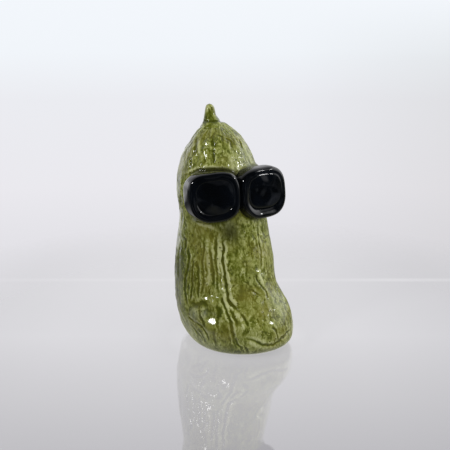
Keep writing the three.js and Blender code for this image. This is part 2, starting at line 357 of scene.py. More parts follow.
# Pits of the photograph, and broad patches of painted shade and painted sheen that darken or
# lighten the glaze: pixel, radius in mm and depth in mm, which is negative where it is lighter
PITS = (
    ((236.5, 170), 3, -0.3), ((244, 163), 6, -0.06), ((199.5, 339), 3, -0.14),
    ((207, 343.5), 3, -0.18), ((215, 346), 3, -0.14), ((189, 327), 3, -0.06),
    ((287, 330), 3, -0.08), ((182, 270), 11, 0.2), ((262, 250), 8, -0.07),
    ((189.2, 255.4), 0.8, 0.4), ((193.4, 226), 0.7, 0.3), ((186.4, 239.6), 0.8, 0.3),
    ((210.8, 260), 0.7, 0.3), ((235.3, 253), 0.7, 0.35), ((243.2, 226.5), 0.8, 0.35),
    ((251.1, 243.5), 0.8, 0.35), ((238, 217.6), 0.7, 0.35), ((213.9, 229.2), 0.6, 0.3),
    ((250.7, 230.6), 0.6, 0.25), ((262.2, 278.4), 0.6, 0.35), ((229, 255.5), 0.6, 0.25),
    ((265.8, 258.2), 0.5, 0.2), ((238, 261), 0.45, 0.2), ((244.5, 262.6), 0.5, 0.2),
    ((230, 269), 0.5, 0.2), ((254.8, 262.5), 0.45, 0.2), ((250.4, 277.5), 0.5, 0.2),
    ((239.4, 281.5), 0.45, 0.2), ((265.5, 237), 0.5, 0.2), ((218.5, 314), 1, 0.4),
    ((240.4, 297.5), 1.3, 0.3), ((281.5, 320), 0.7, 0.25), ((201.5, 318.5), 0.8, 0.3),
    ((213.6, 329.8), 0.5, 0.2), ((207, 310), 2, 0.2), ((216, 329.4), 0.5, 0.3),
    ((219, 330), 0.5, 0.3), ((219.5, 139.5), 0.6, 0.25), ((214.6, 132), 0.6, 0.25),
    ((190, 150), 7, 0.14), ((195.3, 149), 1.4, 0.25), ((217, 138), 3, 0.14),
    ((231.5, 141), 1.2, 0.22), ((229, 151), 0.7, 0.3), ((213.5, 157), 0.9, 0.25),
    ((208, 262), 6, 0.05),
)

# Broad forms: pixel, radius in mm and height in mm. The last four fit the outline to the photo's.
BUMPS = (
    ((196, 315.5), 2.6, 0.8), ((204, 314), 2.2, 0.35), ((213, 302.5), 2.2, 0.75),
    ((243, 330), 5, 0.25), ((265, 334), 4, 0.45), ((193, 147), 2.2, 0.5),
    ((215.3, 141), 2, 0.25), ((240, 155), 3, 0.25), ((206, 147.5), 1.6, 0.35),
    ((262, 279.5), 1.6, 0.35), ((285, 300), 5, 0.35), ((203, 168), 3.2, 0.45),
    ((266, 296), 5, 0.5), ((213.6, 320.2), 0.45, 0.05),
    ((190.5, 339.5), 9, -1), ((284.5, 277), 6, -0.45), ((227, 124.5), 4.5, -1),
    ((197, 130), 4, 0.45),
)
# A dark patch painted below the sunglasses as their reflection and shadow in the glaze
SMUDGE = ((230, 232.5), 4.8)
# Where a pale grey sheen is painted into the glaze as its reflection of bright surroundings: pixel,
# radius in mm and share
MILKY = (
    ((185, 320), 3, 0.2), ((191, 331), 3, 0.2), ((199, 339), 3, 0.35),
    ((210, 345), 3, 0.2), ((236.5, 169.5), 3, 0.5), ((243, 161), 7, 0.3),
    ((194.6, 314.5), 2.6, 0.8), ((204.2, 313.2), 1.7, 0.7), ((181, 303), 3, 0.3),
    ((180.5, 285), 3.5, 0.2), ((188, 146), 2.6, 0.6), ((195, 134), 2.2, 0.5),
    ((181, 265), 3.5, 0.1), ((229, 224), 2.4, 0.25),
)
# Where the glaze lies still, without small ripples: pixel and radius in mm
STILL = (((190, 159), 3.5), ((214, 151), 4))
# Small smooth slopes where the photograph shows a glint: pixel, radius in mm, and how far the
# skin leans there to the right and up
GLINTS = (
    ((210.8, 322.6), 3.3, 0.15, 0.45), ((206, 298), 1.4, 0.18, 0.28),
    ((212, 296), 1.2, 0.05, 0.29), ((217, 297), 1.2, -0.16, 0.23), ((222, 281), 1.3, -0.07, 0.5),
    ((223.3, 288), 1.3, -0.2, 0.51), ((229.8, 290), 1.4, -0.35, 0.43),
    ((238.5, 309.5), 1.3, -0.36, 0.19), ((206, 143), 1.5, -0.04, -0.42),
    ((205.3, 155), 0.75, -0.09, -0.08), ((258, 270.5), 1.3, -0.04, 0.5),
    ((262, 274), 1.1, -0.25, 0.5), ((268, 313), 1.1, 0.06, 0.05), ((272, 323), 1.3, 0.01, 0.17),
    ((239, 151), 1.4, -0.23, -0.3), ((262, 308), 2, 0.14, -0.14), ((276, 315), 1.8, 0, -0.1),
    ((241.5, 161.5), 1.3, -0.01, 0.04), ((228.5, 165), 1.3, 0.32, 0.08),
)
# How far such a slope stands up, in mm for each square mm of its radius
GLINT_RAISE = 0.004
# How steeply a dome falls off from its middle
DOME_FALL = 1.4


def dome_at(points, pixel, radius):
    away = length(points - on_skin([pixel])[0]) / radius
    return np.exp(-away ** 2 * DOME_FALL)


# How much of the random and the drawn relief shows in the glaze's surface; the rest only colours
# it, and the drawn relief colours it more than the random one
RANDOM_SHARE, DRAWN_SHARE, DRAWN_TONE = 0.32, 0.8, 1.9
relief, drawn, form, milky, smooth, pooled = np.zeros((6, *skin.shape[:2]))
for pixel, radius, height in BUMPS:
    form += height * dome_at(skin, pixel, radius)
for pixel, radius, share in MILKY:
    milky = np.maximum(milky, share * dome_at(skin, pixel, radius))
for pixel, radius, lean_right, lean_up in GLINTS:
    away = skin - on_skin([pixel])[0]
    here = np.exp(-(length(away) / radius) ** 4)
    lean = lean_right * (away @ right) + lean_up * (away @ up)
    form += (GLINT_RAISE * radius ** 2 - lean) * here
    smooth = np.maximum(smooth, here)
# The pits' relief also carries the painted shade and sheen into the glaze's colour
for pixel, radius, depth in PITS:
    relief -= depth * dome_at(skin, pixel, radius)

# The random wrinkles run along the body. They are sampled on a cylinder, so that they meet round
# the back, and bend sideways a little as they go, over this many mm across and along.
CYLINDER, SWAY_SIZE = 17, (7, 9)
along = lengths_along(skin[:, 0])[:, None] + 0 * angles
turn = angles + BEND_TURN + 0 * along
girth = length(skin[..., :2] - skin.mean(1)[:, None, :2]) / CYLINDER


def wound(sideways, lengthways, seed, sway=0):
    """Noise on the skin whose features measure this many mm across and along the body."""
    angle = turn + sway / CYLINDER * wound(*SWAY_SIZE, seed + 50) if sway else turn
    x, y = np.cos(angle) * CYLINDER / sideways, np.sin(angle) * CYLINDER / sideways
    return noise(np.stack([x, y, along / lengthways], -1), seed)


def grooves(field, sharp):
    """Narrow grooves with raised lips where the field changes sign, -1 deep."""
    away = np.abs(field) * sharp
    return 0.3 * np.exp(-((away - 1.5) / 0.5) ** 2) - np.clip(1 - away, 0, 1) ** 1.2


def gate(sideways, lengthways, seed, low, high):
    return ease(wound(sideways, lengthways, seed), low, high)


# Furrows come and go, with short squiggles, pits and a gentle unevenness everywhere
FURROW, FURROW_UNSEEN, SQUIGGLE, CRACKLE, DIMPLE = 0.2, 0.3, 0.24, 0.14, 0.2
UNEVEN, SWELL, RIPPLE = 0.12, 0.2, 0.13
furrows = grooves(wound(2.8, 13, 1, sway=2.4), 4) * gate(6, 12, 11, -0.25, 0.35)
squiggles = grooves(wound(1.9, 3.6, 2, sway=2), 3.6) * gate(4, 5, 12, -0.3, 0.3)
crackle = grooves(wound(1.4, 2.2, 5, sway=1.2), 3.2) * gate(3, 3, 13, -0.2, 0.4)
dimples = np.clip(wound(1.2, 1.5, 3) - 0.3, 0, 1) * 2.2
# The photograph doesn't show the back, so all its wrinkles are of this kind
unseen = 1 - ease(facing, -0.1, 0.25)
relief += (FURROW + FURROW_UNSEEN * unseen) * furrows + SQUIGGLE * squiggles
relief += CRACKLE * crackle - DIMPLE * dimples
relief += UNEVEN * wound(1.6, 4, 7) + 0.05
form += (SWELL * wound(4.2, 9, 4) + RIPPLE * wound(2, 3, 6)) * (1 - 0.8 * smooth)

# The drawn wrinkles wander a little and vary in height. In shares of a wrinkle's width: its core,
# the calm strip round it, and where the lips of a groove's core lie and how wide they are.
CORE, CALM, LIP_PLACE, LIP_WIDTH = 0.6, 1.4, 2.1, 0.8
LIP_HEIGHT = 0.3
# Each end tapers to this share of the height over this share of the length
END_HEIGHT, END_SHARE = 0.25, 0.12
# How much of the random and the drawn relief is lost in the calm strips and on the smooth slopes
CALM_RANDOM, CALM_DRAWN, SMOOTH_RANDOM, SMOOTH_DRAWN = 0.5, 0.75, 0.85, 0.6
stray = np.stack([
    0.3 * noise(skin / 1.5, 71 + k) + 0.35 * noise(skin / 4, 75 + k) for k in range(3)
], -1)
uneven = 1 + 0.45 * noise(skin / 1.3, 79)
for path, width, height in WRINKLES:
    gap, share = distance_to_path(skin + stray, on_skin(path))
    taper = ease(share, 0, END_SHARE) * (1 - ease(share, 1 - END_SHARE, 1))
    calm = np.exp(-(gap / (width * CALM)) ** 2)
    core = width * CORE
    line = np.exp(-(gap / core) ** 2)
    if height < 0:
        line -= LIP_HEIGHT * np.exp(-((gap - LIP_PLACE * core) / (LIP_WIDTH * core)) ** 2)
    relief *= 1 - CALM_RANDOM * calm
    taper = (1 - END_HEIGHT) * taper + END_HEIGHT
    drawn = drawn * (1 - CALM_DRAWN * calm) + line * height * taper * uneven
relief *= 1 - SMOOTH_RANDOM * smooth
drawn *= 1 - SMOOTH_DRAWN * smooth

# Relief dies out towards the foot and the crown's pole
off_pole = ease(girth, 0.05, 0.3)
for layer, high in ((relief, 4), (drawn, 4), (form, 5)):
    layer *= ease(skin[..., 2], 0, high) * off_pole


# The sunglasses' own frame, as in the CAD

def turn_about(axis, degrees):
    """A turn about axis 0, 1 or 2."""
    c, s = math.cos(math.radians(degrees)), math.sin(math.radians(degrees))
    matrix = np.eye(3)
    first, second = (axis + 1) % 3, (axis + 2) % 3
    matrix[first, first] = matrix[second, second] = c
    matrix[second, first], matrix[first, second] = s, -s
    return matrix


head_lean, head_half_depth, _ = (v[0] for v in section(GLASSES_HEIGHT))
glasses_place = np.array([
    -head_lean * math.sin(BEND_TURN) + GLASSES_SIDE,
    head_lean * math.cos(BEND_TURN) - head_half_depth - GLASSES_STANDOFF,
    GLASSES_HEIGHT,
])
glasses_turn = turn_about(0, 90 - GLASSES_TILT) @ turn_about(2, GLASSES_ROLL)
rim_turn = {side: turn_about(1, side * RIM_WRAP) for side in (EYE_RIGHT, EYE_LEFT)}


def from_eye(points, side):
    local = points @ rim_turn[side].T + (side * RIM_SPACING / 2, 0, 0)
    return local @ glasses_turn.T + glasses_place


def to_eye(points, side):
    local = (points - glasses_place) @ glasses_turn
    return (local - (side * RIM_SPACING / 2, 0, 0)) @ rim_turn[side]


def rim_reach(local, width, height):
    """How far a point lies outside a rounded square outline, in mm, or inside if negative."""
    x, y = np.abs(local[..., 0]) / (width / 2), local[..., 1] / (height / 2)
    power = np.where(y > 0, SQUARE_TOP, SQUARE_BOTTOM)
    radial = (x ** power + np.abs(y) ** power) ** (1 / power)
    return (radial - 1) * (width + height) / 4


# The casting has no undercuts, so the head ramps up to the rims from this depth behind their
# fronts. Above them it starts further back.
PLINTH_DEPTH, PLINTH_SLOPE, PLINTH_SOFT = -3.9, 3, 0.2
PLINTH_STEP = {EYE_RIGHT: 3.4, EYE_LEFT: 0.6}
FILLET_HEIGHT, FILLET_REACH, CALM_REACH = 0.25, 1.8, 1.4
plinth = np.zeros(skin.shape)
from_nose = np.abs(((skin - glasses_place) @ glasses_turn)[..., 0])
# Painted shade: the sunglasses' reflection and shadow on the glaze below them
smudge = dome_at(skin, *SMUDGE)
for side in (EYE_RIGHT, EYE_LEFT):
    local = to_eye(skin, side)
    reach = rim_reach(local, RIM_WIDTH, RIM_HEIGHT)
    in_front = ease(local[..., 2], -11, -8)
    outside = np.maximum(reach, 0)
    fillet = in_front * (reach > -1.5) * np.clip(1 - outside / FILLET_REACH, 0, 1) ** 2
    away = 1 - 0.8 * in_front * np.clip(1 - outside / CALM_REACH, 0, 1)
    relief *= away
    drawn *= away
    form += FILLET_HEIGHT * fillet
    # Glaze gathers where the head meets the rims, and a dark strip is painted above the wearer's
    # right one
    reach = rim_reach(local - (*RIM_SHIFT[side], 0), *RIM_SIZE[side])
    pooled = np.maximum(pooled, in_front * np.exp(-((reach - 0.5) / 0.45) ** 2))
    above = in_front * ease(local[..., 1], 2, 6) * (side == EYE_RIGHT)
    smudge = np.maximum(smudge, above * np.exp(-((reach - 0.6) / 0.9) ** 4))
    ramp = PLINTH_DEPTH - PLINTH_SLOPE * np.maximum(reach, 0) - local[..., 2]
    ramp -= PLINTH_STEP[side] * ease(local[..., 1], 2, 7)
    lift = PLINTH_SOFT * np.logaddexp(0, ramp / PLINTH_SOFT)
    lift *= ease(local[..., 2], -11.5, -7) * (1 - ease(reach, 2.5, 4))
    lift *= ease(from_nose, 0.5, 4)
    plinth += lift[..., None] * (glasses_turn @ rim_turn[side] @ (0, 0, 1))

# Glaze gathers in a crease round the stem too, this far from its middle and this wide
CREASE_RADIUS, CREASE_WIDTH = 2.9, 0.5
stem_foot = turned(np.array([STEM_SIDE, STEM_LEAN, STEM_SEAT]), BEND_TURN)
from_stem = length(skin[..., :2] - stem_foot[:2])
at_crown = ease(skin[..., 2], 70, 76)
crease = np.exp(-((from_stem - CREASE_RADIUS) / CREASE_WIDTH) ** 2)
pooled = np.maximum(pooled, at_crown * 0.5 * crease)
relief *= 1 - 0.7 * at_crown * np.exp(-(from_stem / 4.2) ** 4)

raised = form + RANDOM_SHARE * relief + DRAWN_SHARE * drawn
moved = skin + normals * raised[..., None] + plinth
moved[..., 2] = np.maximum(moved[..., 2], 0)
# The crown is more pointed than the CAD's, and has a low seat under the stem
SHOULDER_DROP, SEAT_HEIGHT, SEAT_SOFT = 0.9, 83, 0.3
shoulder = ease(from_stem, 1, 3.5) * (1 - ease(from_stem, 7, 13))
moved[..., 2] -= SHOULDER_DROP * shoulder * at_crown
over = (moved[..., 2] - SEAT_HEIGHT) / SEAT_SOFT
moved[..., 2] -= at_crown * SEAT_SOFT * np.logaddexp(0, over)
moved[-1] = skin[-1]
grid[:OUTER_ROWS] = moved


# The looks of the outer skin. The foot and the inside are bare, and have none of the others.
body_looks = {
    "relief": relief + DRAWN_TONE * drawn, "pooled": pooled,
    "smooth": np.maximum(smooth, sum(dome_at(skin, *still) for still in STILL)),
    "milky": milky, "smudge": smudge, "bare": 1 - ease(skin[..., 2], 0.02, 0.35),
}
unglazed = np.ones((len(grid) - OUTER_ROWS, AROUND))
for name, values in body_looks.items():
    body_looks[name] = np.concatenate([values, unglazed * (name == "bare")])


# Meshes from rows of points

# The map, and the share of it that each pole's cap takes up
UV_MAP, MAP_EDGE = "OFBake", 0.002


def add_object(name, data):
    made = bpy.data.objects.new(name, data)
    scene.collection.objects.link(made)
    return made


def mesh_from_rows(name, rows, **attributes):
    """A closed skin: rows of points round an axis, with a pole at each end."""
    row_count, around = rows.shape[:2]
    points = np.concatenate([rows.reshape(-1, 3), [rows[0].mean(0), rows[-1].mean(0)]])
    at = np.arange(row_count * around).reshape(row_count, around)
    beside = np.roll(at, -1, axis=1)
    quads = np.stack([at[:-1], at[1:], beside[1:], beside[:-1]], -1).reshape(-1, 4)
    first, last = row_count * around, row_count * around + 1
    caps = [(first, a, b) for a, b in zip(at[0], beside[0])]
    caps += [(last, b, a) for a, b in zip(at[-1], beside[-1])]
    mesh = bpy.data.meshes.new(name)
    mesh.from_pydata((points * MM).tolist(), [], quads.tolist() + caps)
    for key, values in attributes.items():
        made = mesh.attributes.new(key, "FLOAT", "POINT")
        all_values = np.append(values, (values[0].mean(), values[-1].mean()))
        made.data.foreach_set("value", all_values.astype(np.float32))
    mesh.polygons.foreach_set("use_smooth", np.ones(len(mesh.polygons), bool))
    mesh.validate()
    mesh.update()
    return add_object(name, mesh)


def add_grid_map(piece, around, shares):
    """A plain map of the rows, so that a bake of the piece has no seams but one."""
    column, row = np.arange(around)[:, None], 1 - shares
    ends = np.stack([row[:-1], row[1:], row[1:], row[:-1]], -1)[:, None]
    corners = np.concatenate([
        np.stack(np.broadcast_arrays(across, down), -1).reshape(-1, 2) for across, down in (
            (column + (0, 0, 1, 1), ends),
            (column + (0.5, 0, 1), (1, row[0], row[0])),
            (column + (0.5, 1, 0), (0, row[-1], row[-1])),
        )
    ]) / (around, 1)
    layer = piece.data.uv_layers.new(name=UV_MAP)
    layer.uv.foreach_set("vector", corners.astype(np.float32).ravel())


body = mesh_from_rows("body_glazed", grid, **body_looks)
down = np.append(0, np.cumsum(length(np.diff(grid, axis=0)).mean(1)))
add_grid_map(body, AROUND, MAP_EDGE + (1 - 2 * MAP_EDGE) * down / down[-1])


# The stem

STEM_AROUND, STEM_ROWS = 72, 60
# Radius and height over the seat
STEM_PROFILE = np.array([
    (4.2, -1.6), (4.7, -0.9), (4.2, -0.1), (3.4, 0.6), (2.85, 1.3), (2.62, 2), (2.35, 2.9),
    (2.1, 3.9), (1.92, 5), (1.75, 6), (1.42, 6.8), (0.85, 7.35), (0.02, 7.6),
])
CREASE_HEIGHT, CREASE_SOFT, CREASE_DEPTH = 1.25, 0.28, 0.35
FLARE_HEIGHT, FLARE_SOFT, FLARE = 1.7, 1.1, 0.5
# How far broad and fine waves stand out, and how far it sways to the right at its foot and its top
STEM_WAVE, STEM_FINE, SWAY_FOOT, SWAY_TOP = 0.22, 0.07, 0.75, -0.35


def stem_rows():
    turns = np.arange(STEM_AROUND) * 2 * math.pi / STEM_AROUND
    radius, height = evenly(STEM_PROFILE, STEM_ROWS).T
    for values in (radius, height):
        for _ in range(3):
            values[1:-1] = (values[:-2] + 2 * values[1:-1] + values[2:]) / 4
    outward = np.stack([np.cos(turns), np.sin(turns), 0 * turns], -1)
    points = outward * radius[:, None, None] + (0, 0, 1) * height[:, None, None]
    wave, fine = noise(points / (2.2, 2.2, 3), 21), noise(points / (0.9, 0.9, 1.4), 22)
    in_front = ease(-np.cos(turns - math.pi / 2 + CAMERA_TURN), 0.1, 0.9)
    band = np.exp(-((height - CREASE_HEIGHT) / CREASE_SOFT) ** 2)[:, None]
    band = band * (0.15 + 0.85 * in_front)
    flare = np.exp(-((height - FLARE_HEIGHT) / FLARE_SOFT) ** 2)[:, None]
    flare = flare * np.clip(np.cos(turns + CAMERA_TURN), 0, 1)
    crease = -CREASE_DEPTH * band
    swell = wave * STEM_WAVE + fine * STEM_FINE + flare * FLARE + crease
    points += outward * (swell * ease(radius, 0.1, 1)[:, None])[..., None]
    lift = height[:, None] / STEM_PROFILE[-1, 1]
    sway = SWAY_FOOT * np.exp(-np.maximum(height, 0) / 1.3)[:, None]
    sway = sway + SWAY_TOP * np.clip(lift, 0, 1)
    points += sway[..., None] * right
    return points, band, wave * 0.4 + fine * 0.25 + crease - 0.07


stem_points, stem_pool, stem_relief = stem_rows()
stem_points = stem_points[::-1] + stem_foot
stem = mesh_from_rows(
    "stem_glazed", stem_points, relief=stem_relief[::-1], pooled=stem_pool[::-1],
    **dict.fromkeys(("smooth", "milky", "smudge", "bare"), stem_relief * 0),
)


# The sunglasses' pieces

def even_outline(width, height, around, inset=0):
    """A rounded square with its points evenly spaced."""
    width, height = width - 2 * inset, height - 2 * inset
    turns = np.linspace(0, 2 * math.pi, 4001)
    power = 2 / np.where(np.sin(turns) > 0, SQUARE_TOP, SQUARE_BOTTOM)
    ring = np.stack([np.cos(turns), np.sin(turns)], -1)
    ring = np.sign(ring) * np.abs(ring) ** power[:, None] * (width / 2, height / 2)
    return evenly(ring, around, closed=True)


def through(profile, count):
    """Points evenly spaced along a smooth curve through the profile's points."""
    knots = np.array(profile, float)
    padded = np.vstack([2 * knots[0] - knots[1], knots, 2 * knots[-1] - knots[-2]])
    curve = []
    for k in range(1, len(padded) - 2):
        t = np.linspace(0, 1, 24, endpoint=False)[:, None]
        a, b, c, d = padded[k - 1:k + 3]
        curve.append(0.5 * (2 * b + (c - a) * t + (2 * a - 5 * b + 4 * c - d) * t ** 2
                            + (3 * b - a - 3 * c + d) * t ** 3))
    return evenly(np.vstack(curve + [knots[-1:]]), count)


# A rim's profile from its back to the bottom of its recess: inset from the outline, depth where
# the glass lies deep in its rim, and depth where it lies almost flush
RIM_PROFILE = (
    (4, -10.4, -10.4), (2.2, -9.8, -9.8), (0.5, -8.2, -8.2), (-0.35, -6.2, -6.2),
    (-0.35, -4, -4), (-0.22, -2.2, -2.6), (-0.05, -0.95, -1.55), (0.3, -0.25, -0.75),
    (0.95, 0, -0.27), (1.6, -0.12, -0.19), (2.35, -0.5, -0.165), (2.9, -0.95, -0.14),
    (3.9, -1.9, -1.9),
)
RIM_AROUND, RIM_ROWS = 200, 84
# From this depth back the rims widen
DRAFT_START = -1.2
# How deep the middle of the glass lies in its rim, from 0 to 1
RECESS = {EYE_RIGHT: 0.3, EYE_LEFT: 0.42}


def depth_share(flat, side):
    """How deep the glass lies in its rim at these places: 1 at the bottom, and 0 at the top."""
    rise, across = flat[..., 1] / RIM_HEIGHT, flat[..., 0] / RIM_WIDTH
    return ease(RECESS[side] - rise * 1.2 - across * 0.5, 0, 1)


def rim_rows(side):
    width, height = RIM_SIZE[side]
    deep = through([(inset, low) for inset, low, _ in RIM_PROFILE], RIM_ROWS)
    flush = through([(inset, high) for inset, _, high in RIM_PROFILE], RIM_ROWS)
    rings = []
    for (deep_inset, low), (flush_inset, high) in zip(deep, flush):
        flat = even_outline(width, height, RIM_AROUND, deep_inset)
        other = even_outline(width, height, RIM_AROUND, flush_inset)
        share = depth_share(flat, side)
        flat = other + (flat - other) * share[:, None]
        corner = np.clip(-flat[:, 1] / (height / 2), 0, 1) ** 2 * (flat[:, 0] < 0)
        flat[:, 0] *= 1 - RIM_TAPER[side] * corner
        flat[:, 0] *= 1 + RIM_DRAFT * max(DRAFT_START - low, 0)
        flat += RIM_SHIFT[side]
        rings.append(np.column_stack([flat, high + (low - high) * share]))
    return np.array(rings)


def wobble(points, size, amount, seed):
    """Moves points a little, as a hand-dipped glaze does."""
    shift = np.stack([noise(points / size + 31.7 * k, seed + k) for k in range(3)], -1)
    return points + amount * shift


def glazed_piece(name, rows, side):
    return mesh_from_rows(name, wobble(from_eye(rows(side), side), 5.5, 0.16, 40))


# The bridge: its size, its points and rows, and a profile of inset and depth
BRIDGE_WIDTH, BRIDGE_HEIGHT, BRIDGE_AROUND, BRIDGE_ROWS = 7.9, 10.4, 120, 26
BRIDGE_PROFILE = ((0, -5.7), (0, -3.5), (0.15, -2), (0.7, -0.8), (1.8, -0.25), (3.2, -0.35))


def bridge_piece():
    rings = []
    for inset, depth in through(BRIDGE_PROFILE, BRIDGE_ROWS):
        flat = even_outline(BRIDGE_WIDTH, BRIDGE_HEIGHT, BRIDGE_AROUND, inset)
        rings.append(np.column_stack([flat, np.full(BRIDGE_AROUND, depth)]))
    rings = np.array(rings) @ glasses_turn.T + glasses_place
    return mesh_from_rows("bridge", wobble(rings, 4, 0.15, 44))


# The glass: its size, how far its middle lies towards the wearer's left and up in its rim, and the
# steps of its edge, each how far it grows and how deep it lies
GLASS = {EYE_RIGHT: (15.2, 13.7, -0.05, 0.1), EYE_LEFT: (15.4, 12.9, 0.35, 0.85)}
GLASS_EDGE = ((-0.6, 1), (0.25, 0.95), (0.3, 0.55), (0.15, 0.22), (-0.15, 0.07), (-0.55, 0))
GLASS_AROUND, GLASS_ROWS, GLASS_DOME, GLASS_DENT = 160, 24, 0.35, 0.12
# How deep it lies at the least, and how much deeper where the rim is deep
GLASS_FLUSH, GLASS_SINK = 0.14, 0.78


def glass_rows(side):
    width, height, left, rise = GLASS[side]
    outline = even_outline(width, height, GLASS_AROUND)
    rings = [
        np.column_stack([outline * (1 + 2 * grow / width), np.full(GLASS_AROUND, -drop)])
        for grow, drop in GLASS_EDGE
    ]
    edge = rings[-1]
    for t in np.linspace(0, 1, GLASS_ROWS + 2)[1:-1]:
        ring = edge * (1 - t)
        ring[:, 2] = GLASS_DOME * (1 - (1 - t) ** 2)
        rings.append(ring)
    rings = np.array(rings)
    rings[..., :2] += (left, rise)
    rings[..., 2] -= GLASS_FLUSH + GLASS_SINK * depth_share(rings, side)
    rings[..., :2] += RIM_SHIFT[side]
    dent = noise(rings[-GLASS_ROWS:] / 4.5 + side * 7.3, 61)
    dent *= np.linspace(0, 2, GLASS_ROWS).clip(0, 1)[:, None]
    rings[-GLASS_ROWS:, :, 2] += GLASS_DENT * dent
    return rings


def join(name, pieces):
    with bpy.context.temp_override(active_object=pieces[0], selected_editable_objects=pieces):
        bpy.ops.object.join()
    pieces[0].name = name
    pieces[0].data.name = name
    return pieces[0]


glasses = join("sunglasses", [
    glazed_piece("rim_right", rim_rows, EYE_RIGHT), glazed_piece("rim_left", rim_rows, EYE_LEFT),
    bridge_piece(),
])
lens_right = glazed_piece("lens_right_glazed", glass_rows, EYE_RIGHT)
lens_left = glazed_piece("lens_left_glazed", glass_rows, EYE_LEFT)


# Materials

class Nodes:
    """A short way to write a node tree."""

    def __init__(self, tree):
        self.tree = tree
        tree.nodes.clear()

    def add(self, kind, inputs=None, **settings):
        node = self.tree.nodes.new("ShaderNode" + kind)
        for key, value in settings.items():
            setattr(node, key, value)
        for key, value in (inputs or {}).items():
            self.set(node.inputs[key], value)
        return node

    def set(self, socket, value):
        if isinstance(value, bpy.types.Node):
            value = value.outputs[0]
        if isinstance(value, bpy.types.NodeSocket):
            self.tree.links.new(value, socket)
        else:
            socket.default_value = value

    def math(self, operation, a, b, c=0):
        return self.add("Math", {0: a, 1: b, 2: c}, operation=operation).outputs[0]

    def times(self, a, b):
        return self.math("MULTIPLY", a, b)

    def dot(self, a, b):
        inputs = {0: a, 1: tuple(b)}
        return self.add("VectorMath", inputs, operation="DOT_PRODUCT").outputs["Value"]

    def span(self, value, low, high):
        """0 at low, 1 at high and even between."""
        inputs = {"Value": value, "From Min": low, "From Max": high}
        return self.add("MapRange", inputs).outputs[0]

    def attribute(self, name):
        return self.add("Attribute", attribute_name=name).outputs["Fac"]

    def noise(self, where, scale, detail=2, roughness=0.5, stretch=None):
        if stretch:
            where = self.add("Mapping", {"Vector": where, "Scale": (1, 1, stretch)}).outputs[0]
        inputs = {"Vector": where, "Scale": scale, "Detail": detail, "Roughness": roughness}
        return self.add("TexNoise", inputs).outputs["Fac"]

    def lines(self, where, scale, sharp, stretch):
        """Thin wandering grooves with lips: 0 in a groove, 0.75 on its lips and 0.5 elsewhere."""
        field = self.noise(where, scale, stretch=stretch)
        away = self.times(self.math("ABSOLUTE", self.math("SUBTRACT", field, 0.5), 0), sharp)
        return self.grey(away, (0, 0), (0.22, 0.2), (0.45, 0.75), (0.75, 0.5))

    def ramp(self, value, *stops):
        node = self.add("ValToRGB", {"Fac": value})
        ramp = node.color_ramp
        while len(ramp.elements) < len(stops):
            ramp.elements.new(0.5)
        for element, (place, colour) in zip(ramp.elements, stops):
            element.position = place
            element.color = (*colour, 1)[:4]
        return node.outputs["Color"]

    def grey(self, value, *stops):
        return self.ramp(value, *[(place, (tone, tone, tone)) for place, tone in stops])

    def mix(self, share, a, b, blend="MIX"):
        node = self.add("Mix", data_type="RGBA", blend_type=blend)
        self.set(node.inputs[0], share)
        self.set(node.inputs[6], a)
        self.set(node.inputs[7], b)
        return node.outputs[2]

    def lighten(self, colour, value):
        return self.mix(1, colour, self.grey(value, (0, 0), (1, 1)), "ADD")


def srgb(*levels):
    """A linear colour from levels of 0 to 255."""
    linear = [v / 255 / 12.92 if v <= 10 else ((v / 255 + 0.055) / 1.055) ** 2.4 for v in levels]
    return *linear, 1


def new_material(name):
    material = bpy.data.materials.new(name)
    material.use_nodes = True
    return material, Nodes(material.node_tree)


def coat(n, colour, rough, height, strength):
    """A clear glaze over this colour, with a surface that is uneven by the height."""
    bump = n.add("Bump", {"Strength": strength, "Distance": 0.0003, "Height": height})
    shader = n.add("BsdfPrincipled", {
        "Base Color": colour, "Roughness": rough, "IOR": 1.5, "Normal": bump,
    })
    n.add("OutputMaterial", {"Surface": shader})


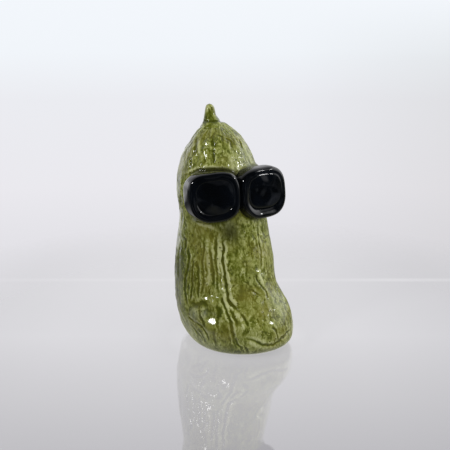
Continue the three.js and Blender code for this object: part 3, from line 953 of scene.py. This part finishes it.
def green_glaze():
    material, n = new_material("green_glaze_look")
    place = n.add("TexCoord").outputs["Object"]
    # Wrinkles hold thick dark glaze, and it runs thin and light over the ridges
    stir = n.add("TexNoise", {"Vector": place, "Scale": 420})
    inputs = {0: stir.outputs["Color"], 1: (0.0022, 0.0022, 0.0022), 2: place}
    bent = n.add("VectorMath", inputs, operation="MULTIPLY_ADD").outputs[0]
    streak = n.noise(bent, 620, 3, 0.55, 0.3)
    blotch = n.noise(place, 130, 2, 0.6, 0.6)
    mottle = n.noise(place, 1900, 2, 0.6, 0.6)
    patchy = n.grey(n.noise(place, 330), (0.38, 0), (0.6, 1))
    cracks = n.times(n.math("SUBTRACT", n.lines(bent, 420, 6, 0.4), 0.5), patchy)
    fine_cracks = n.lines(bent, 900, 4.5, 0.5)
    level = n.math("MULTIPLY_ADD", n.attribute("relief"), 1.35, 0.54)
    for share, field, middle in (
        (0.14, streak, 0.5), (0.16, blotch, 0.5), (0.12, mottle, 0.5), (0.75, cracks, 0),
        (0.3, fine_cracks, 0.5), (-0.75, n.attribute("pooled"), 0),
    ):
        level = n.math("ADD", level, n.times(n.math("SUBTRACT", field, middle), share))
    colour = n.ramp(
        level,
        (0, srgb(68, 75, 10)), (0.25, srgb(90, 97, 27)), (0.47, srgb(122, 128, 59)),
        (0.68, srgb(150, 155, 89)), (0.95, srgb(186, 190, 136)),
    )
    # Brown areas and specks
    cells = n.add("TexVoronoi", {"Vector": place, "Scale": 720})
    speck = n.times(n.grey(cells.outputs["Distance"], (0.16, 1), (0.3, 0)),
                    n.grey(n.noise(place, 260), (0.4, 0), (0.52, 1)))
    brown = n.grey(n.noise(place, 90), (0.45, 0), (0.7, 0.45))
    colour = n.mix(brown, colour, srgb(120, 112, 44))
    # Painted sheen: a pale grey-green that stands in for the glaze's reflection of bright
    # surroundings
    haze = n.times(n.attribute("milky"), n.grey(streak, (0.35, 0.35), (0.6, 1)))
    colour = n.mix(haze, colour, srgb(142, 146, 122))
    # Painted shade below the sunglasses, and the dark strip above the wearer's right rim
    colour = n.mix(n.times(n.attribute("smudge"), 0.9), colour, srgb(42, 43, 14))
    colour = n.mix(n.times(speck, 0.75), colour, srgb(60, 60, 12))
    bare_share = n.attribute("bare")
    clay = n.ramp(n.noise(place, 900, 4, 0.6),
                  (0.3, srgb(196, 186, 166)), (0.7, srgb(222, 214, 198)))
    colour = n.mix(bare_share, colour, clay)
    ripple = n.noise(place, 420, 2, 0.5, 0.4)
    height = n.times(ripple, 0.8)
    for share, field in ((0.2, streak), (0.18, cracks), (-0.1, speck)):
        height = n.math("ADD", height, n.times(field, share))
    height = n.times(height, n.math("SUBTRACT", 1, n.attribute("smooth")))
    rough = n.math("MULTIPLY_ADD", blotch, 0.1, 0.05)
    rough = n.mix(bare_share, n.grey(rough, (0, 0), (1, 1)), (0.85, 0.85, 0.85, 1))
    coat(n, colour, rough, height, 0.36)
    return material


def black_glaze():
    material, n = new_material("black_glaze_look")
    place = n.add("TexCoord").outputs["Object"]
    colour = n.ramp(n.noise(place, 180, 3), (0.35, srgb(2, 3, 4)), (0.7, srgb(5, 8, 13)))
    ripple = n.noise(place, 260)
    rough = n.grey(n.noise(place, 500), (0.3, 0.02), (0.8, 0.05))
    coat(n, colour, rough, ripple, 0.15)
    return material


green = green_glaze()
black = black_glaze()
for piece, material, node, slot in (
    (body, green, "body_shell", "green_glaze"),
    (stem, green, "stem", "green_glaze"),
    (glasses, black, "sunglasses_frame", "black_glaze"),
    (lens_right, black, "lens_right", "black_glaze"),
    (lens_left, black, "lens_left", "black_glaze"),
):
    piece.data.materials.clear()
    piece.data.materials.append(material)
    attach(piece, "root")
    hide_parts(node)


# The stage: a pale glossy table that fades into the backdrop. In metres: half its side, how far
# below the foot it lies, how far its tones reach, and the strip of its far edge.
TABLE_HALF, TABLE_DROP, TONE_REACH, FAR_EDGE = 0.6, 0.00002, 0.1, (0.0625, 0.0695)


def floor_material():
    material, n = new_material("table_look")
    place = n.add("TexCoord").outputs["Object"]
    away = n.add("VectorMath", {0: place}, operation="LENGTH").outputs["Value"]
    fade_out = n.grey(n.times(away, 4), (0.4, 0), (0.72, 1))
    path = n.add("LightPath").outputs
    shader = n.add("BsdfPrincipled", {
        "Base Color": (0.2, 0.198, 0.204, 1), "Roughness": 0.02, "IOR": 2.5,
    })
    # The pale tone that the camera sees comes on top, and lights nothing
    deep, beside = n.dot(place, ahead), n.dot(place, right)
    beside_share = n.span(beside, -TONE_REACH, TONE_REACH)
    shade = n.ramp(
        n.span(deep, -TONE_REACH, TONE_REACH), (0, (0.175, 0.17, 0.185)),
        (0.25, (0.315, 0.31, 0.325)), (0.5, (0.43, 0.425, 0.445)), (1, (0.405, 0.4, 0.417)),
    )
    fall = n.grey(beside_share, (0, 0.84), (0.15, 0.92), (0.3, 0.96), (0.5, 0.96), (0.73, 0.9),
                  (0.87, 0.81), (1, 0.72))
    shade = n.mix(1, shade, fall, "MULTIPLY")
    # Its far edge catches the light
    edge = n.grey(n.span(deep, *FAR_EDGE), (0, 0), (0.5, 1), (1, 0))
    edge_light = n.grey(beside_share, (0, 0.035), (0.5, 0.02), (0.73, 0.03), (0.9, 0.09))
    shade = n.lighten(shade, n.times(edge, edge_light))
    # and a little light is painted round the foot, over the object's shadow
    shade = n.lighten(shade, n.grey(n.times(away, 20), (0.34, 0.06), (0.56, 0)))
    glow = n.add("Emission", {"Color": shade, "Strength": path["Is Camera Ray"]})
    both = n.add("AddShader", {0: shader, 1: glow})
    # In the glaze it shows darker, above all at the left, but light behind the object and close to
    # its foot
    dim = n.ramp(n.span(beside, -0.04, 0.04), (0, (0.05, 0.05, 0.052)), (1, (0.24, 0.24, 0.17)))
    behind = n.grey(n.times(deep, 10), (0, 0), (0.25, 1), (0.7, 1), (1, 0))
    dim = n.mix(behind, dim, (0.45, 0.45, 0.45, 1))
    dim = n.mix(n.grey(n.times(away, 10), (0.22, 1), (0.5, 0)), dim, (0.76, 0.77, 0.6, 1))
    dark = n.add("Emission", {"Color": dim})
    shown = n.add("MixShader", {0: path["Is Glossy Ray"], 1: both, 2: dark})
    clear = n.add("BsdfTransparent")
    mixed = n.add("MixShader", {0: fade_out, 1: shown, 2: clear})
    n.add("OutputMaterial", {"Surface": mixed})
    return material


def make_floor():
    corners = [(-1, -1), (1, -1), (1, 1), (-1, 1)]
    mesh = bpy.data.meshes.new("table")
    mesh.from_pydata([(x * TABLE_HALF, y * TABLE_HALF, 0) for x, y in corners], [], [(0, 1, 2, 3)])
    mesh.materials.append(floor_material())
    table = add_object("table", mesh)
    table.location.z = -TABLE_DROP


# The backdrop's tones change from 20 degrees below the horizon to 3 above it
SKY_LOW, SKY_HIGH = -0.342, 0.052


def make_world():
    world = bpy.data.worlds.new("studio")
    scene.world = world
    world.use_nodes = True
    n = Nodes(world.node_tree)
    way = n.add("TexCoord").outputs["Generated"]
    height = n.add("SeparateXYZ", {"Vector": way}).outputs["Z"]
    rise = n.span(height, SKY_LOW, SKY_HIGH)
    sky = n.ramp(
        rise, (0, srgb(217, 216, 221)), (0.17, srgb(227, 226, 231)), (0.36, srgb(234, 233, 238)),
        (0.66, srgb(235, 236, 241)), (0.82, srgb(241, 245, 250)), (1, srgb(243, 247, 252)),
    )
    behind = n.grey(n.math("MULTIPLY_ADD", n.dot(way, ahead + (0, 0, 0.05)), 0.5, 0.5),
                    (0.42, 0), (0.68, 1))
    across = n.dot(way, right)
    low_wall = n.ramp(across, (0, (0.12, 0.12, 0.125)), (0.3, (0.35, 0.35, 0.26)))
    wall = n.mix(n.grey(rise, (0.75, 0), (1, 1)), low_wall, (0.68, 0.68, 0.7, 1))
    room = n.ramp(n.noise(way, 2.6), (0.48, (0.02, 0.022, 0.026)), (0.68, (0.3, 0.32, 0.37)))
    room = n.mix(n.grey(height, (0, 0), (0.35, 0.85)), room, (0.02, 0.02, 0.025, 1))
    seen = n.mix(behind, room, wall)
    # Bright panels that only show in the glaze: two at the left, behind, and a broad one at the
    # right. Each has its own foot and top.
    for panel_way, low, high, tone, foot, top in (
        (-0.5 * right + 0.87 * ahead, 0.88, 0.97, 3.4, -0.3, 0.05),
        (-0.85 * right + 0.5 * ahead, 0.9, 0.98, 0.8, 0, 0.9),
        (0.85 * right + 0.35 * ahead + (0, 0, 0.4), 0.75, 0.95, 2.3, 0, 0.55),
    ):
        panel = n.grey(n.dot(way, panel_way), (low, 0), (high, tone))
        for start, end in ((foot, foot + 0.2), (top + 0.15, top)):
            panel = n.times(panel, n.span(height, start, end))
        seen = n.lighten(seen, panel)
    path = n.add("LightPath").outputs
    shiny = n.math("MAXIMUM", path["Is Glossy Ray"], path["Is Transmission Ray"])
    soft = n.ramp(n.math("MULTIPLY_ADD", across, 0.5, 0.5),
                  (0, (0.33, 0.33, 0.36)), (1, (1.42, 1.42, 1.42)))
    plain_light = n.mix(shiny, soft, seen)
    side_fall = n.ramp(across, (0, (1, 1, 1)), (0.1, (0.985, 0.985, 0.985)),
                       (0.3, (0.9, 0.895, 0.885)))
    side_fall = n.mix(n.grey(rise, (0.8, 0), (1, 1)), side_fall, (1, 1, 1, 1))
    sky = n.mix(1, sky, side_fall, "MULTIPLY")
    colour = n.mix(path["Is Camera Ray"], plain_light, sky)
    background = n.add("Background", {"Color": colour})
    n.add("OutputWorld", {"Surface": background})


# In metres: the place that the lamps shine at, and how far from it they stand
LAMP_TARGET, LAMP_DISTANCE = Vector((0, 0, 0.045)), 0.55


def add_lamp(name, across, rise, width, height, radiance):
    """A soft box, turned across from the camera's side, rising from the horizon, in degrees."""
    a, e = math.radians(across), math.radians(rise)
    way = (math.sin(a) * right - math.cos(a) * ahead) * math.cos(e) + (0, 0, math.sin(e))
    data = bpy.data.lights.new(name, "AREA")
    data.shape = "RECTANGLE"
    data.size, data.size_y = width, height
    data.energy = radiance * math.pi * width * height
    lamp = add_object(name, data)
    lamp.location = LAMP_TARGET + Vector(way) * LAMP_DISTANCE
    lamp.rotation_mode = "QUATERNION"
    lamp.rotation_quaternion = Vector(way).to_track_quat("Z", "Y")


make_floor()
make_world()
add_lamp("lamp_left", -52, 33, 0.075, 0.075, 38)
add_lamp("lamp_right", 80, 30, 0.05, 0.035, 40)

camera_data = bpy.data.cameras.new("camera")
camera_data.sensor_width = SENSOR
camera_data.lens = SENSOR * PHOTO_FOCAL / PHOTO_SIZE
camera_data.clip_start, camera_data.clip_end = 0.01, 20
camera = add_object("camera", camera_data)
camera.location = Vector(CAMERA_PLACE) * MM
camera.rotation_mode = "QUATERNION"
camera.rotation_quaternion = Vector(look).to_track_quat("-Z", "Y")
scene.camera = camera
scene.view_settings.view_transform = "Standard"
